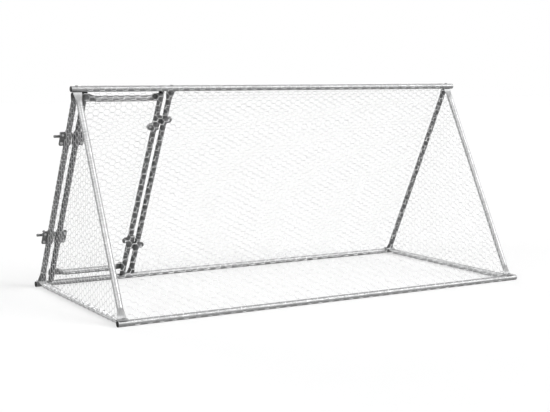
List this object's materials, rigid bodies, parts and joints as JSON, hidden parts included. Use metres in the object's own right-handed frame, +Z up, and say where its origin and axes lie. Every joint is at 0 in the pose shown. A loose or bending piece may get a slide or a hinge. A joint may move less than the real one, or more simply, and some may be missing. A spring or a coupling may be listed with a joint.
{
  "type": "chicken cage",
  "caption": "Ridge-tent poultry run of galvanised tube covered in hexagonal wire netting, open underneath, with a hinged tube-framed door held by slide bolts.",
  "frame": {"origin": "on the ground under the middle of the ridge, half way between the end plugs of the ridge", "axes": "+X along the ridge, towards the end without the door; -Y towards the front slope, +Y towards the slope with the door; +Z up"},
  "size_m": [2.0271, 0.987, 0.9161],
  "materials": {
    "galvanised_tube": "galvanised round tube, satin zinc with faint drawn streaks and spangle",
    "netting": "thin galvanised wire, twisted into hexagons",
    "clamp_steel": "dark grey zinc on pressed steel clamps",
    "rod_steel": "bright zinc on drawn round bar",
    "fastener_zinc": "zinc plated bolts and nuts",
    "plug_plastic": "black moulded plastic end plugs"
  },
  "bodies": {
    "frame": {"clamp_bolts_frame": "fastener_zinc", "clamp_nuts_frame": "fastener_zinc", "cross_tube_left": "galvanised_tube", "cross_tube_right": "galvanised_tube", "door_post": "galvanised_tube", "frame_bolts": "fastener_zinc", "frame_ridge_bolts": "fastener_zinc", "frame_ridge_nuts": "fastener_zinc", "frame_rivet_nuts": "fastener_zinc", "front_net": "netting", "front_rail_left": "galvanised_tube", "front_rail_right": "galvanised_tube", "hinge_lower_post_inner": "clamp_steel", "hinge_lower_post_outer": "clamp_steel", "hinge_pin_lower": "rod_steel", "hinge_pin_upper": "rod_steel", "hinge_upper_post_inner": "clamp_steel", "hinge_upper_post_outer": "clamp_steel", "latch_lower_leg_clamp_inner": "clamp_steel", "latch_lower_leg_clamp_outer": "clamp_steel", "latch_upper_leg_clamp_inner": "clamp_steel", "latch_upper_leg_clamp_outer": "clamp_steel", "left_end_net": "netting", "leg_front_left": "galvanised_tube", "leg_front_right": "galvanised_tube", "leg_rear_left": "galvanised_tube", "leg_rear_right": "galvanised_tube", "rail_end_caps": "plug_plastic", "rear_net": "netting", "rear_rail_left": "galvanised_tube", "rear_rail_right": "galvanised_tube", "ridge_left": "galvanised_tube", "ridge_right": "galvanised_tube", "right_end_net": "netting"},
    "door": {"clamp_bolts_door": "fastener_zinc", "clamp_nuts_door": "fastener_zinc", "door_bolts": "fastener_zinc", "door_end_caps": "plug_plastic", "door_net": "netting", "door_rail_bottom": "galvanised_tube", "door_rail_top": "galvanised_tube", "door_rivet_nuts": "fastener_zinc", "door_stile_hinge_side": "galvanised_tube", "door_stile_latch_side": "galvanised_tube", "hinge_lower_door_inner": "clamp_steel", "hinge_lower_door_outer": "clamp_steel", "hinge_upper_door_inner": "clamp_steel", "hinge_upper_door_outer": "clamp_steel", "latch_lower_keeper_inner": "clamp_steel", "latch_lower_keeper_outer": "clamp_steel", "latch_upper_keeper_inner": "clamp_steel", "latch_upper_keeper_outer": "clamp_steel"},
    "upper_latch": {"latch_handle_upper": "rod_steel", "latch_rod_upper": "rod_steel"},
    "lower_latch": {"latch_handle_lower": "rod_steel", "latch_rod_lower": "rod_steel"}
  },
  "joints": [
    {"name": "door_swing", "type": "hinge", "parent": "frame", "child": "door", "pos_m": [-0.5624, 0.09048, 0.74982], "axis": [0, 0.4673, -0.8841], "range_deg": [0, 90]},
    {"name": "upper_latch_slide", "type": "slide", "parent": "frame", "child": "upper_latch", "axis": [1, 0, 0], "range_m": [-0.003, 0.02]},
    {"name": "lower_latch_slide", "type": "slide", "parent": "frame", "child": "lower_latch", "axis": [1, 0, 0], "range_m": [-0.003, 0.02]}
  ]
}
